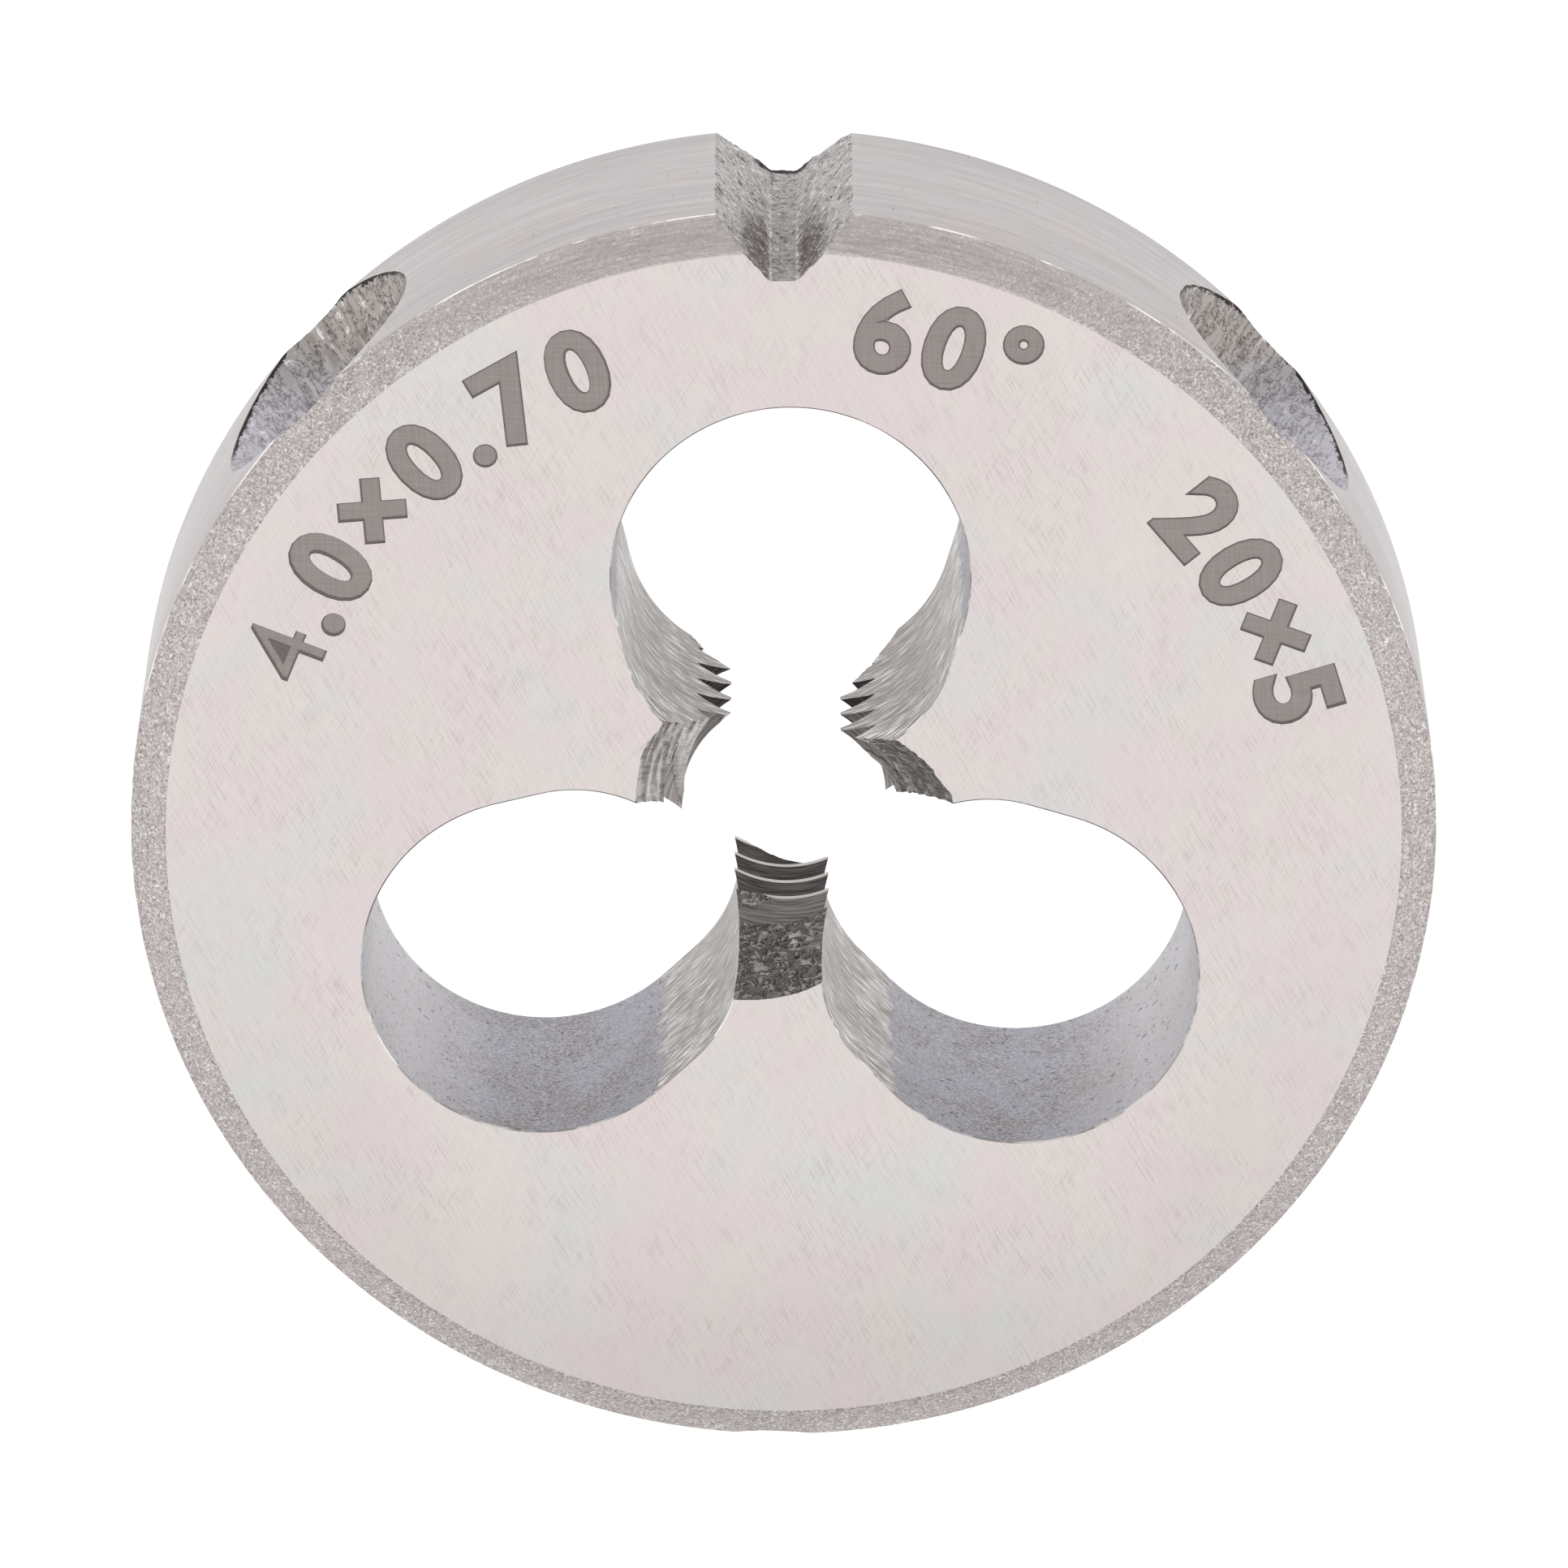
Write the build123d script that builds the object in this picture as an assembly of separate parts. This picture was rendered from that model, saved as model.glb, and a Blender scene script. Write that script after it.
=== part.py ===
"""Round threading die, closed type, M4 x 0.7 right hand, one solid.

Millimetres, +Z up. The back face lies on z = 0, the marked front face is up,
and the adjusting groove is towards +Y.
"""
import math
import os

from build123d import *

# ---------------------------------------------------------------- blank
outer_dia = 20.0          # ground rim, the size a die holder is bored for
thickness = 4.85          # back face to front face
chamfer_radial = 0.53     # rim chamfer, measured across the face
chamfer_axial = 0.38      # rim chamfer, measured along the axis

# ---------------------------------------------------------------- chip holes
flute_count = 3
flute_turn = -1.4         # degrees, chip hole pattern against the groove
flute_r = 2.725           # main bore of a chip hole
flute_pos = 4.27          # its distance from the die axis
rake_r = 2.2              # arcs that shape the cutting edges of the lands
rake_pos = 3.465          # their distance from the die axis, along the hole
rake_off = 0.33           # and to each side of it

# ---------------------------------------------------------------- thread M4 x 0.7, right hand
thread_major = 4.0
pitch = 0.7
thread_minor = thread_major - 1.2269 * pitch   # 3.141, across the crests that cut the bolt's root
thread_root = 0.03        # flat at the bottom of a thread groove
thread_rise = 0.15        # height of a thread groove on the +X side

# ---------------------------------------------------------------- relieved lead-ins, one cone for each land
front_lead_r = 2.30       # cone radius at the front face
back_lead_r = 2.12        # and at the back face
lead_angle = 30.0         # half angle
lead_offset = 0.60        # cone axis to die axis, towards the chip hole behind the cutting edge

# ---------------------------------------------------------------- adjusting groove
groove_depth_front = 1.00  # depth of the floor below the rim, at the front face
groove_depth_back = 0.79   # and at the back face
groove_floor_half = 0.21   # half the width of the flat floor
groove_half = 1.04         # half the width where it meets the rim
groove_corner = 0.15       # radius between floor and wall

# ---------------------------------------------------------------- holding dimples
dimple_angles = (46.5, -48.6, 179.0)   # degrees from the groove, positive to the left
dimple_r = 2.175          # opening where the cone meets the rim
dimple_angle = 45.0       # half angle of the cone

R = outer_dia / 2
T = thickness


def turned(points):
    """Solid of revolution about the die axis from (radius, height) points."""
    return revolve(Plane.XZ * Polygon(*points, align=None), Axis.Z, 360)


def blank():
    """Disc with a chamfer on both rim edges."""
    inner = R - chamfer_radial
    return turned([
        (0, 0), (inner, 0), (R, chamfer_axial), (R, T - chamfer_axial), (inner, T), (0, T),
    ])


def bore():
    """Thread core."""
    return Pos(0, 0, -1) * Cylinder(thread_minor / 2, T + 2, align=(Align.CENTER, Align.CENTER, Align.MIN))


def lead_ins():
    """Front and back cones. Each is cut eccentric to the die axis, in the sector of its own land,
    so that the land falls away behind its cutting edge."""
    k = math.tan(math.radians(lead_angle))
    tools = []
    for face_r, front in ((front_lead_r, True), (back_lead_r, False)):
        cone = turned([(0, -face_r / k), (face_r + k, 1), (0, 1)])
        cone = Pos(0, 0, T) * cone if front else Rot(180, 0, 0) * cone
        for n in range(flute_count):
            land = math.radians(flute_turn + 30 + 360 / flute_count * n)
            behind = land + math.radians(-60 if front else 60)
            reach = 3 * front_lead_r
            sector = Polygon(
                (0, 0), *[(reach * math.cos(land + math.radians(a)), reach * math.sin(land + math.radians(a)))
                          for a in (-60, 0, 60)],
                align=None,
            )
            wedge = Pos(0, 0, -2) * extrude(sector, T + 4)
            axis = Pos(lead_offset * math.cos(behind), lead_offset * math.sin(behind))
            tools.append((axis * cone) & wedge)
    return tools


def chip_holes():
    """Three chip holes, each a main bore that runs into the two cutting-edge arcs along tangents."""
    apart = math.hypot(rake_off, flute_pos - rake_pos)
    normal = math.acos((flute_r - rake_r) / apart) - math.atan2(flute_pos - rake_pos, rake_off)
    x, y = math.cos(normal), math.sin(normal)
    low = (0, rake_pos - math.sqrt(rake_r ** 2 - rake_off ** 2))
    arc_end = (rake_off + rake_r * x, rake_pos + rake_r * y)
    bore_end = (flute_r * x, flute_pos + flute_r * y)
    halfway = math.radians(-70)
    arc_mid = (rake_off + rake_r * math.cos(halfway), rake_pos + rake_r * math.sin(halfway))
    outline = [
        ThreePointArc(low, arc_mid, arc_end),
        Line(arc_end, bore_end),
        ThreePointArc(bore_end, (0, flute_pos + flute_r), (-bore_end[0], bore_end[1])),
        Line((-bore_end[0], bore_end[1]), (-arc_end[0], arc_end[1])),
        ThreePointArc((-arc_end[0], arc_end[1]), (-arc_mid[0], arc_mid[1]), low),
    ]
    tool = Pos(0, 0, -1) * extrude(make_face(outline), T + 2)
    return [Rot(0, 0, flute_turn + 360 / flute_count * k) * tool for k in range(flute_count)]


def thread_grooves():
    """Thread grooves, cut one short helical stroke at a time across each land."""
    span = 0.34                                # of a turn, wider than a land
    r_in = thread_minor / 2 - 0.08
    r_out = thread_major / 2 + (pitch / 8 - thread_root) / 2 / math.tan(math.radians(30))
    r_mid = (r_in + r_out) / 2
    half_out = thread_root / 2
    half_in = half_out + (r_out - r_in) * math.tan(math.radians(30))
    path = Helix(pitch=pitch, height=span * pitch, radius=r_mid)
    start = path @ 0
    across = Plane(origin=start, x_dir=Vector(start.X, start.Y, 0).normalized(), z_dir=path % 0)
    section = across * make_face(Polyline(
        (r_in - r_mid, -half_in), (r_out - r_mid, -half_out),
        (r_out - r_mid, half_out), (r_in - r_mid, half_in), close=True,
    ))
    stroke = sweep(section, path=path, is_frenet=True)
    tools = []
    top = T - (front_lead_r - thread_major / 2) / math.tan(math.radians(lead_angle)) + pitch
    for k in range(flute_count):
        land = (flute_turn + 30 + 120 * k) % 360
        first = land - 180 * span
        for n in range(-2, 9):
            z = thread_rise + pitch * (first / 360 + n)
            middle = z + pitch * span / 2
            if -pitch / 2 < middle < top:
                tools.append(Pos(0, 0, z) * Rot(0, 0, first) * stroke)
    return tools


def adjusting_groove():
    """V-groove with a flat floor, a little deeper at the front."""
    def profile(z, depth):
        floor = R - depth
        y_rim = math.sqrt(R * R - groove_half ** 2)
        slope = (groove_half - groove_floor_half) / (y_rim - floor)
        top = R + 1.2
        half_top = groove_floor_half + (top - floor) * slope
        face = Polygon(
            (-half_top, top), (-groove_floor_half, floor), (groove_floor_half, floor), (half_top, top),
            align=None,
        )
        corners = [v for v in face.vertices() if abs(v.Y - floor) < 1e-6]
        return Pos(0, 0, z) * fillet(corners, groove_corner)

    fall = (groove_depth_front - groove_depth_back) / T
    return loft(
        [profile(-1.0, groove_depth_back - fall), profile(T + 1.0, groove_depth_front + fall)],
        ruled=True,
    )


def dimples():
    """Three conical dimples for the holder screws, sunk radially into the rim."""
    k = math.tan(math.radians(dimple_angle))
    depth = dimple_r / k
    extra = 1.0
    cone = Cone(0, dimple_r + extra * k, depth + extra, align=(Align.CENTER, Align.CENTER, Align.MIN))
    tools = []
    for a in dimple_angles:
        radial = Vector(-math.sin(math.radians(a)), math.cos(math.radians(a)), 0)
        start = radial * (R - depth) + Vector(0, 0, T / 2)
        tools.append(Plane(origin=start, z_dir=radial) * cone)
    return tools


def build():
    die = blank() - bore()
    for tool in [adjusting_groove()] + dimples() + chip_holes() + lead_ins() + thread_grooves():
        die -= tool
    return die


die = build()
solids = die.solids()
assert len(solids) == 1, f"{len(solids)} solids"
die = solids[0]

os.makedirs("parts", exist_ok=True)
export_step(die, "parts/round_die.step")
bb = die.bounding_box()
print("size", bb.size, "volume", die.volume, "faces", len(die.faces()), "valid", die.is_valid)
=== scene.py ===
"""Round threading die, one piece of hardened tool steel, with the finish of every tool that cut it.

The die is made again the way it is machined: a turned and ground blank, then each
tool that cuts it, with the marks that tool leaves. Lengths are millimetres until
the last step, which scales the mesh to metres. The die lies on its back face, the
marked face is up and the adjusting groove is towards +Y.
"""
import math

import bpy
from mathutils import Matrix, Vector, noise


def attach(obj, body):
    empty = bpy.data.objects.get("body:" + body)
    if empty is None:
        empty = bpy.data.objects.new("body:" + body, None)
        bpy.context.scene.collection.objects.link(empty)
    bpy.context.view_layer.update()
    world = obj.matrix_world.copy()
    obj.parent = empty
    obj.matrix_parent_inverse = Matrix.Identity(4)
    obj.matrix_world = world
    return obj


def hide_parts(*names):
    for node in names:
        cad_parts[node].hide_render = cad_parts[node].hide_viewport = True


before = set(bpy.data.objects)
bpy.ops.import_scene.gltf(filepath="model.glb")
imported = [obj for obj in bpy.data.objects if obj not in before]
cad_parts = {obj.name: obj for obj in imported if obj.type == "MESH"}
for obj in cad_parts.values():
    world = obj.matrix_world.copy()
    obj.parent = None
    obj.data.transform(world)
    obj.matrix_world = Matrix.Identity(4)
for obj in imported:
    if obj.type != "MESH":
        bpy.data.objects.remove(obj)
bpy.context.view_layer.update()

# ---------------------------------------------------------------- sizes, as in the part's source
RIM_R = 10.0
THICK = 4.85
CHAMFER_RADIAL = 0.53
CHAMFER_AXIAL = 0.38

FLUTES = 3
FLUTE_TURN = math.radians(-1.4)
FLUTE_R = 2.725
FLUTE_POS = 4.27
RAKE_R = 2.2
RAKE_POS = 3.465
RAKE_OFF = 0.33

THREAD_MAJOR = 4.0
PITCH = 0.7
ROOT_DROP = 1.2269          # major less root diameter of the bolt that the teeth cut, in pitches
CREST_R = (THREAD_MAJOR - ROOT_DROP * PITCH) / 2
THREAD_ROOT = 0.03
THREAD_RISE = 0.15
FRONT_LEAD_R = 2.30
BACK_LEAD_R = 2.12
FLANK_SLOPE = math.tan(math.radians(30))
LEAD_SLOPE = math.tan(math.radians(30))
LEAD_OFFSET = 0.60

GROOVE_DEPTH_FRONT = 1.00
GROOVE_DEPTH_BACK = 0.79
GROOVE_FLOOR_HALF = 0.21
GROOVE_HALF = 1.04

DIMPLE_ANGLES = (46.5, -48.6, 179.0)
DIMPLE_R = 2.175

EDGE_BREAK = 0.022          # the hair of a bevel that handling leaves on a ground edge
SHARP_ANGLE = 40            # degrees; a fold steeper than this shows as an edge
TORN_STEP = 0.045           # between the points of a torn surface, along the cut
WORN_LAND = 2               # the land whose lead-ins a worn tool tore
LAND_REACH = 60             # degrees that a lead-in tool spans, either side of its land
LAND_TEETH = 34             # degrees of that which meet metal, and need fine steps

MARK_SIZE = 1.72            # type size; the numbers are 1.25 mm high
MARK_CENTRE = 0.345         # middle of a number above its baseline, as a share of the type size
MARK_THICKEN = 0.062
MARK_THICKEN_FOUR = -0.01   # less, so that the small hole of a 4 stays open
MARK_OUTLINE = 0.022        # how much wider the sloped edge is, all round
MARK_SPACE = 0.33
MARK_DEPTH = 0.03
MARK_EDGE_DEPTH = 0.4 * MARK_DEPTH
NUMBERS = (                 # each with its angle in degrees and its radius
    ("4.0\u00d70.70", 135.0, 8.2),
    ("60\u00b0", 73.0, 8.35),
    ("20\u00d75", 28.5, 8.2),
)
TABLE_HALF = 2000.0         # far past the camera's view on every side
TABLE_DROP = 0.02           # so that the table and the back face don't share a plane
TABLE_GLOW = 1.10
MM = 0.001


def rake_low(grow=0.0):
    """Angle of a cutting-edge arc where the two of them meet, low in the chip hole."""
    return -math.pi / 2 - math.asin(RAKE_OFF / (RAKE_R + grow))


RAKE_GAP = math.hypot(RAKE_OFF, FLUTE_POS - RAKE_POS)
RAKE_TANGENT = math.acos((FLUTE_R - RAKE_R) / RAKE_GAP) - math.atan2(FLUTE_POS - RAKE_POS, RAKE_OFF)
RAKE_FAR = math.hypot(RAKE_OFF, RAKE_POS)              # die's axis to the centre of a cutting-edge arc
EDGE_TURN = math.acos((RAKE_FAR ** 2 + RAKE_R ** 2 - CREST_R ** 2) / (2 * RAKE_FAR * RAKE_R))

# Where the main bore ends and where the cutting edge is, along a chip hole's wall from its middle.
BORE_HALF = FLUTE_R * (math.pi / 2 - RAKE_TANGENT)
EDGE_AT = BORE_HALF + RAKE_R * (RAKE_TANGENT + math.atan2(RAKE_POS, RAKE_OFF) - EDGE_TURN)


# ---------------------------------------------------------------- finishes
# Sizes of marks and grains are in mm. Scratches of grinding and milling are under 0.01 mm wide on
# the real thing, and scale and drag lines are little coarser. They are drawn 0.024 mm wide and up,
# as coarse as they need to be to show.
def srgb(hex_code):
    """Linear colour of an sRGB hex code."""
    parts = [int(hex_code[i:i + 2], 16) / 255 for i in (0, 2, 4)]
    linear = [c / 12.92 if c <= 0.04045 else ((c + 0.055) / 1.055) ** 2.4 for c in parts]
    return (*linear, 1.0)


def add(tree, kind, inputs=None, output=None, **settings):
    """Adds a node with its settings and links, and gives back its output."""
    made = tree.nodes.new(kind)
    for key, value in settings.items():
        setattr(made, key, value)
    for key, value in (inputs or {}).items():
        if isinstance(value, bpy.types.NodeSocket):
            tree.links.new(value, made.inputs[key])
        else:
            made.inputs[key].default_value = value
    if output:
        return made.outputs[output]
    return next((socket for socket in made.outputs if socket.enabled), None)


def tool_marks(tree, turn, long_mm, wide_mm, seed=0.0, detail=3.0):
    """Straight marks of a wheel or cutter, turned in degrees on the surface they run along."""
    turned = add(tree, "ShaderNodeMapping", {
        "Vector": add(tree, "ShaderNodeUVMap", uv_map="work"), "Rotation": (0, 0, math.radians(turn)),
    })
    place = add(tree, "ShaderNodeMapping", {
        "Vector": turned, "Location": (seed, seed * 1.7, 0), "Scale": (1 / long_mm, 1 / wide_mm, 1),
    })
    return add(tree, "ShaderNodeTexNoise", {
        "Vector": place, "Scale": 1.0, "Detail": detail, "Roughness": 0.62,
    })


def grains(tree, size_mm, curl=0.0, detail=3.0, seed=0.0):
    """Grains or clouds of a size in mm, the same in every direction; curl winds them like worms."""
    place = add(tree, "ShaderNodeMapping", {
        "Vector": add(tree, "ShaderNodeTexCoord", output="Object"),
        "Location": (seed, seed, 0), "Scale": [1 / (MM * size_mm)] * 3,
    })
    return add(tree, "ShaderNodeTexNoise", {
        "Vector": place, "Scale": 1.0, "Detail": detail, "Roughness": 0.6, "Distortion": curl,
    })


def steel(name, finish):
    """Bare steel; finish(tree) gives its colour, its surface's height in mm and its roughness."""
    material = bpy.data.materials.new(name)
    material.use_nodes = True
    tree = material.node_tree
    tree.nodes.clear()
    colour, height, roughness = finish(tree)
    bump = add(tree, "ShaderNodeBump", {"Height": height, "Distance": MM, "Strength": 1.0})
    shader = add(tree, "ShaderNodeBsdfPrincipled", {
        "Base Color": colour, "Metallic": 1.0, "Roughness": roughness, "Normal": bump,
    })
    add(tree, "ShaderNodeOutputMaterial", {"Surface": shader})
    return material


def surface_ground(tree):
    """Flat grinding: fine steep scratches, a few across them, and faint warm and cool clouds."""
    fine = tool_marks(tree, 59, 0.9, 0.024)
    deep = tool_marks(tree, 63, 0.4, 0.032, 3.0, 1.0)
    cross = tool_marks(tree, 118, 0.6, 0.028, 7.0)
    patch = add(tree, "ShaderNodeMapRange", {
        "Value": grains(tree, 1.3, 0.5, 2.0, 9.0), "From Min": 0.40, "From Max": 0.62,
    })
    warm = add(tree, "ShaderNodeMapRange", {
        "Value": grains(tree, 1.5, 0.5), "From Min": 0.40, "From Max": 0.60,
    })
    cool = add(tree, "ShaderNodeMapRange", {
        "Value": grains(tree, 2.2, 0.5, 3.0, 5.0), "From Min": 0.50, "From Max": 0.66,
    })
    tint = add(tree, "ShaderNodeMix", {0: warm, 6: srgb("e4ddd9"), 7: srgb("e6dada")}, data_type="RGBA")
    tint = add(tree, "ShaderNodeMix", {0: cool, 6: tint, 7: srgb("dfdedd")}, data_type="RGBA")
    lines = add(tree, "ShaderNodeMath", {0: fine, 1: cross}, operation="ADD")
    lines = add(tree, "ShaderNodeMath", {0: lines, 1: deep}, operation="ADD")
    dark = add(tree, "ShaderNodeMapRange", {
        "Value": lines, "From Min": 1.20, "From Max": 1.52, "To Min": 0.42, "To Max": 0.0,
    })
    seen = add(tree, "ShaderNodeMapRange", {"Value": patch, "To Min": 0.35, "To Max": 1.0})
    dark = add(tree, "ShaderNodeMath", {0: dark, 1: seen}, operation="MULTIPLY")
    colour = add(tree, "ShaderNodeMix", {0: dark, 6: tint, 7: srgb("bdb3b0")}, data_type="RGBA")
    rough = add(tree, "ShaderNodeMapRange", {
        "Value": lines, "From Min": 1.2, "From Max": 1.8, "To Min": 0.44, "To Max": 0.36,
    })
    height = add(tree, "ShaderNodeMath", {0: lines, 1: 0.0006}, operation="MULTIPLY")
    return colour, height, rough


def rim_ground(tree):
    """Cylindrical grinding: soft streaks round the rim, broken by short bright and dark ones."""
    broad = tool_marks(tree, 0, 3.0, 0.20)
    fine = tool_marks(tree, 0, 0.6, 0.028, 3.0)
    stain = grains(tree, 0.9, 0.8)
    lines = add(tree, "ShaderNodeMath", {0: broad, 1: fine}, operation="ADD")
    tone = add(tree, "ShaderNodeMapRange", {"Value": lines, "From Min": 0.76, "From Max": 1.26})
    warm = add(tree, "ShaderNodeMapRange", {"Value": stain, "From Min": 0.45, "From Max": 0.62})
    dark = add(tree, "ShaderNodeMix", {0: warm, 6: srgb("aea9aa"), 7: srgb("b1a8a7")}, data_type="RGBA")
    colour = add(tree, "ShaderNodeMix", {0: tone, 6: dark, 7: srgb("c6c0c0")}, data_type="RGBA")
    nick = add(tree, "ShaderNodeMapRange", {
        "Value": tool_marks(tree, 90, 0.35, 0.05, 11.0, 1.0), "From Min": 0.72, "From Max": 0.80,
    })
    colour = add(tree, "ShaderNodeMix", {0: nick, 6: colour, 7: srgb("8b8482")}, data_type="RGBA")
    height = add(tree, "ShaderNodeMath", {0: lines, 1: 0.0015}, operation="MULTIPLY")
    return colour, height, 0.38


def chamfer_scaled(tree):
    """Turned, scaled chamfer: worm-like grains with painted highlights on tips, painted shade in hollows.

    Beside the adjusting groove it was rubbed down, so there it is calm, with streaks round the rim.
    """
    worms = grains(tree, 0.105, 2.0, 2.0)
    dust = grains(tree, 0.04, 0.5, 1.0, 2.0)
    cloud = grains(tree, 0.6, 0.5, 3.0, 4.0)
    both = add(tree, "ShaderNodeMath", {0: worms, 1: dust}, operation="ADD")
    streaks = add(tree, "ShaderNodeMapRange", {
        "Value": tool_marks(tree, 0, 0.7, 0.035, 6.0), "To Min": 0.72, "To Max": 1.42,
    })
    place = add(tree, "ShaderNodeTexCoord", output="Object")
    across = add(tree, "ShaderNodeSeparateXYZ", {0: place}, output="Y")
    rubbed = add(tree, "ShaderNodeMapRange", {
        "Value": across, "From Min": 7.6 * MM, "From Max": 9.2 * MM, "To Min": 0.12, "To Max": 0.70,
    })
    both = add(tree, "ShaderNodeMix", {0: rubbed, 2: both, 3: streaks})
    # Colour follows height: painted shade where the grains are low, a painted highlight where they are
    # highest.
    low = add(tree, "ShaderNodeMapRange", {"Value": both, "From Min": 0.74, "From Max": 1.06})
    painted_tip_highlight = add(tree, "ShaderNodeMapRange", {"Value": both, "From Min": 1.08, "From Max": 1.30})
    painted_hollow_shade = add(tree, "ShaderNodeMix", {0: cloud, 6: srgb("928988"), 7: srgb("aca4a1")}, data_type="RGBA")
    colour = add(tree, "ShaderNodeMix", {0: low, 6: painted_hollow_shade, 7: srgb("cdc5c3")}, data_type="RGBA")
    colour = add(tree, "ShaderNodeMix", {0: painted_tip_highlight, 6: colour, 7: srgb("faf8f2")}, data_type="RGBA")
    height = add(tree, "ShaderNodeMath", {0: both, 1: 0.022}, operation="MULTIPLY")
    return colour, height, 0.40


def edge_burnished_painted_highlight(tree):
    """Edge rubbed smooth by handling, with a painted highlight in patches along it, dull in others."""
    rubbed = add(tree, "ShaderNodeMapRange", {
        "Value": grains(tree, 0.8, 0.5), "From Min": 0.46, "From Max": 0.58,
    })
    # Painted highlight: near-white patches along the edge.
    colour = add(tree, "ShaderNodeMix", {0: rubbed, 6: srgb("b0aaa7"), 7: srgb("fbf9f5")}, data_type="RGBA")
    height = add(tree, "ShaderNodeMath", {0: grains(tree, 0.06), 1: 0.004}, operation="MULTIPLY")
    return colour, height, 0.3


def chip_hole_finish(tree):
    """Bored before hardening, so bluish and finely speckled, then hand ground beside each land.

    The hand ground part is streaked, and starts at a ragged line, where the wheel ran out. Across
    the surface is measured from the middle of the bore.
    """
    speck = grains(tree, 0.05, 0.5, 2.0)
    cloud = grains(tree, 1.4, 0.6, 4.0, 2.0)
    pits = grains(tree, 0.10, 1.0, 1.0, 8.0)
    cool = add(tree, "ShaderNodeMapRange", {"Value": cloud, "From Min": 0.38, "From Max": 0.60})
    tint = add(tree, "ShaderNodeMix", {0: cool, 6: srgb("837f80"), 7: srgb("9896a0")}, data_type="RGBA")
    light = add(tree, "ShaderNodeMapRange", {
        "Value": speck, "From Min": 0.40, "From Max": 0.64, "To Min": 0.0, "To Max": 0.75,
    })
    bored = add(tree, "ShaderNodeMix", {0: light, 6: tint, 7: srgb("c0bdc4")}, data_type="RGBA")
    work = add(tree, "ShaderNodeUVMap", uv_map="work")
    along = add(tree, "ShaderNodeSeparateXYZ", {0: work}, output="X")
    away = add(tree, "ShaderNodeMath", {0: along}, operation="ABSOLUTE")
    middle = add(tree, "ShaderNodeMapRange", {
        "Value": away, "From Min": 0.45 * BORE_HALF, "From Max": 0.12 * BORE_HALF,
        "To Min": 0.0, "To Max": 0.62,
    })
    bored = add(tree, "ShaderNodeMix", {0: middle, 6: bored, 7: srgb("d2ced1")}, data_type="RGBA")
    pit = add(tree, "ShaderNodeMapRange", {
        "Value": pits, "From Min": 0.36, "From Max": 0.29, "To Min": 0.0, "To Max": 0.75,
    })
    bored = add(tree, "ShaderNodeMix", {0: pit, 6: bored, 7: srgb("4e4a4c")}, data_type="RGBA")

    streaks = tool_marks(tree, 5, 0.60, 0.055)
    fine = tool_marks(tree, -6, 0.30, 0.028, 5.0)
    lines = add(tree, "ShaderNodeMath", {0: streaks, 1: fine}, operation="ADD")
    stain = add(tree, "ShaderNodeMapRange", {
        "Value": grains(tree, 0.8, 0.8), "From Min": 0.42, "From Max": 0.60,
    })
    place = add(tree, "ShaderNodeTexCoord", output="Object")
    up = add(tree, "ShaderNodeSeparateXYZ", {0: place}, output="Z")
    wander = grains(tree, 0.7, 0.6, 3.0, 6.0)
    wander = add(tree, "ShaderNodeMath", {0: wander, 1: 2.4 * MM}, operation="MULTIPLY")
    up = add(tree, "ShaderNodeMath", {0: up, 1: wander}, operation="ADD")
    near_edge = add(tree, "ShaderNodeMapRange", {"Value": up, "From Min": 5.1 * MM, "From Max": 5.8 * MM})
    below = add(tree, "ShaderNodeMapRange", {
        "Value": up, "From Min": 5.4 * MM, "From Max": 4.7 * MM, "To Min": 0.0, "To Max": 0.9,
    })
    near_teeth = add(tree, "ShaderNodeMapRange", {
        "Value": away, "From Min": EDGE_AT - 1.5, "From Max": EDGE_AT - 0.7,
    })
    smooth = add(tree, "ShaderNodeMath", {0: near_teeth, 1: below}, operation="MULTIPLY")
    spread = add(tree, "ShaderNodeMath", {0: lines, 1: 1.0}, operation="SUBTRACT")
    # Painted highlight: where the streaks are highest they turn near white, more so near the front face.
    contrast = add(tree, "ShaderNodeMapRange", {"Value": near_edge, "To Min": 0.80, "To Max": 1.45})
    calmed = add(tree, "ShaderNodeMapRange", {"Value": smooth, "To Min": 1.0, "To Max": 0.75})
    contrast = add(tree, "ShaderNodeMath", {0: contrast, 1: calmed}, operation="MULTIPLY")
    seen = add(tree, "ShaderNodeMath", {0: spread, 1: contrast, 2: 1.0}, operation="MULTIPLY_ADD")
    tone = add(tree, "ShaderNodeMapRange", {"Value": seen, "From Min": 0.84, "From Max": 1.00})
    painted_gleam = add(tree, "ShaderNodeMapRange", {"Value": seen, "From Min": 1.03, "From Max": 1.15})
    dark = add(tree, "ShaderNodeMix", {0: stain, 6: srgb("6a6766"), 7: srgb("6d635e")}, data_type="RGBA")
    mid = add(tree, "ShaderNodeMix", {0: stain, 6: srgb("b4b1af"), 7: srgb("968e89")}, data_type="RGBA")
    mid = add(tree, "ShaderNodeMix", {0: smooth, 6: mid, 7: srgb("948c88")}, data_type="RGBA")
    ground = add(tree, "ShaderNodeMix", {0: tone, 6: dark, 7: mid}, data_type="RGBA")
    ground = add(tree, "ShaderNodeMix", {0: painted_gleam, 6: ground, 7: srgb("f1eeec")}, data_type="RGBA")
    nick = add(tree, "ShaderNodeMapRange", {
        "Value": tool_marks(tree, 12, 0.22, 0.035, 9.0, 1.0), "From Min": 0.68, "From Max": 0.76,
        "To Min": 0.0, "To Max": 0.8,
    })
    ground = add(tree, "ShaderNodeMix", {0: nick, 6: ground, 7: srgb("4a4543")}, data_type="RGBA")

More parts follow.
